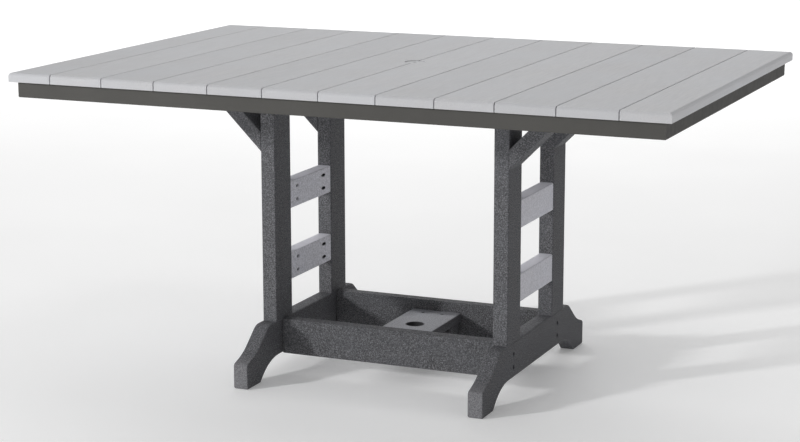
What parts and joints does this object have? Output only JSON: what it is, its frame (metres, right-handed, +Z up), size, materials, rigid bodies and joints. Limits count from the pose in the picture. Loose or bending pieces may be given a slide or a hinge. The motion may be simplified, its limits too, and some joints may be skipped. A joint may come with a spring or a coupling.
{
  "type": "outdoor dining table",
  "caption": "Rectangular slatted outdoor dining table on a two-trestle base with knee braces, low stretchers and an umbrella hole with a lift-out plug.",
  "frame": {"origin": "on the floor, under the middle of the tabletop", "axes": "+X along the table's length, +Y across it towards the rear, +Z up"},
  "size_m": [1.6256, 1.1176, 0.7747],
  "materials": {
    "slat_lumber": "light grey moulded lumber with a faint brushed grain",
    "rail_lumber": "light grey moulded lumber with a faint brushed grain",
    "base_lumber": "dark grey moulded lumber, speckled, satin",
    "frame_metal": "dark grey powder coat on aluminium tube",
    "screw_steel": "black coat on steel"
  },
  "bodies": {
    "table": {"apron_front": "frame_metal", "apron_left": "frame_metal", "apron_rear": "frame_metal", "apron_right": "frame_metal", "bearer_screws": "screw_steel", "bearer_tube_front": "frame_metal", "bearer_tube_rear": "frame_metal", "board_cleat_front": "base_lumber", "board_cleat_rear": "base_lumber", "board_screws": "screw_steel", "brace_front_left": "base_lumber", "brace_front_right": "base_lumber", "brace_rear_left": "base_lumber", "brace_rear_right": "base_lumber", "brace_screws": "screw_steel", "cleat_screws": "screw_steel", "foot_left": "base_lumber", "foot_right": "base_lumber", "post_front_left": "base_lumber", "post_front_right": "base_lumber", "post_lag_screws": "screw_steel", "post_rear_left": "base_lumber", "post_rear_right": "base_lumber", "rail_lower_left": "rail_lumber", "rail_lower_right": "rail_lumber", "rail_screws": "screw_steel", "rail_upper_left": "rail_lumber", "rail_upper_right": "rail_lumber", "ring_screws": "screw_steel", "slat_01": "slat_lumber", "slat_02": "slat_lumber", "slat_03": "slat_lumber", "slat_04": "slat_lumber", "slat_05": "slat_lumber", "slat_06": "slat_lumber", "slat_07": "slat_lumber", "slat_08": "slat_lumber", "slat_09": "slat_lumber", "slat_10": "slat_lumber", "slat_11": "slat_lumber", "slat_12": "slat_lumber", "slat_screws": "screw_steel", "stretcher_front": "base_lumber", "stretcher_rear": "base_lumber", "stretcher_screws": "screw_steel", "umbrella_board": "base_lumber", "umbrella_ring": "base_lumber"},
    "plug": {"umbrella_plug": "slat_lumber"}
  },
  "joints": [
    {"name": "plug_lift", "type": "slide", "parent": "table", "child": "plug", "axis": [0, 0, 1], "range_m": [0, 0.08]}
  ]
}
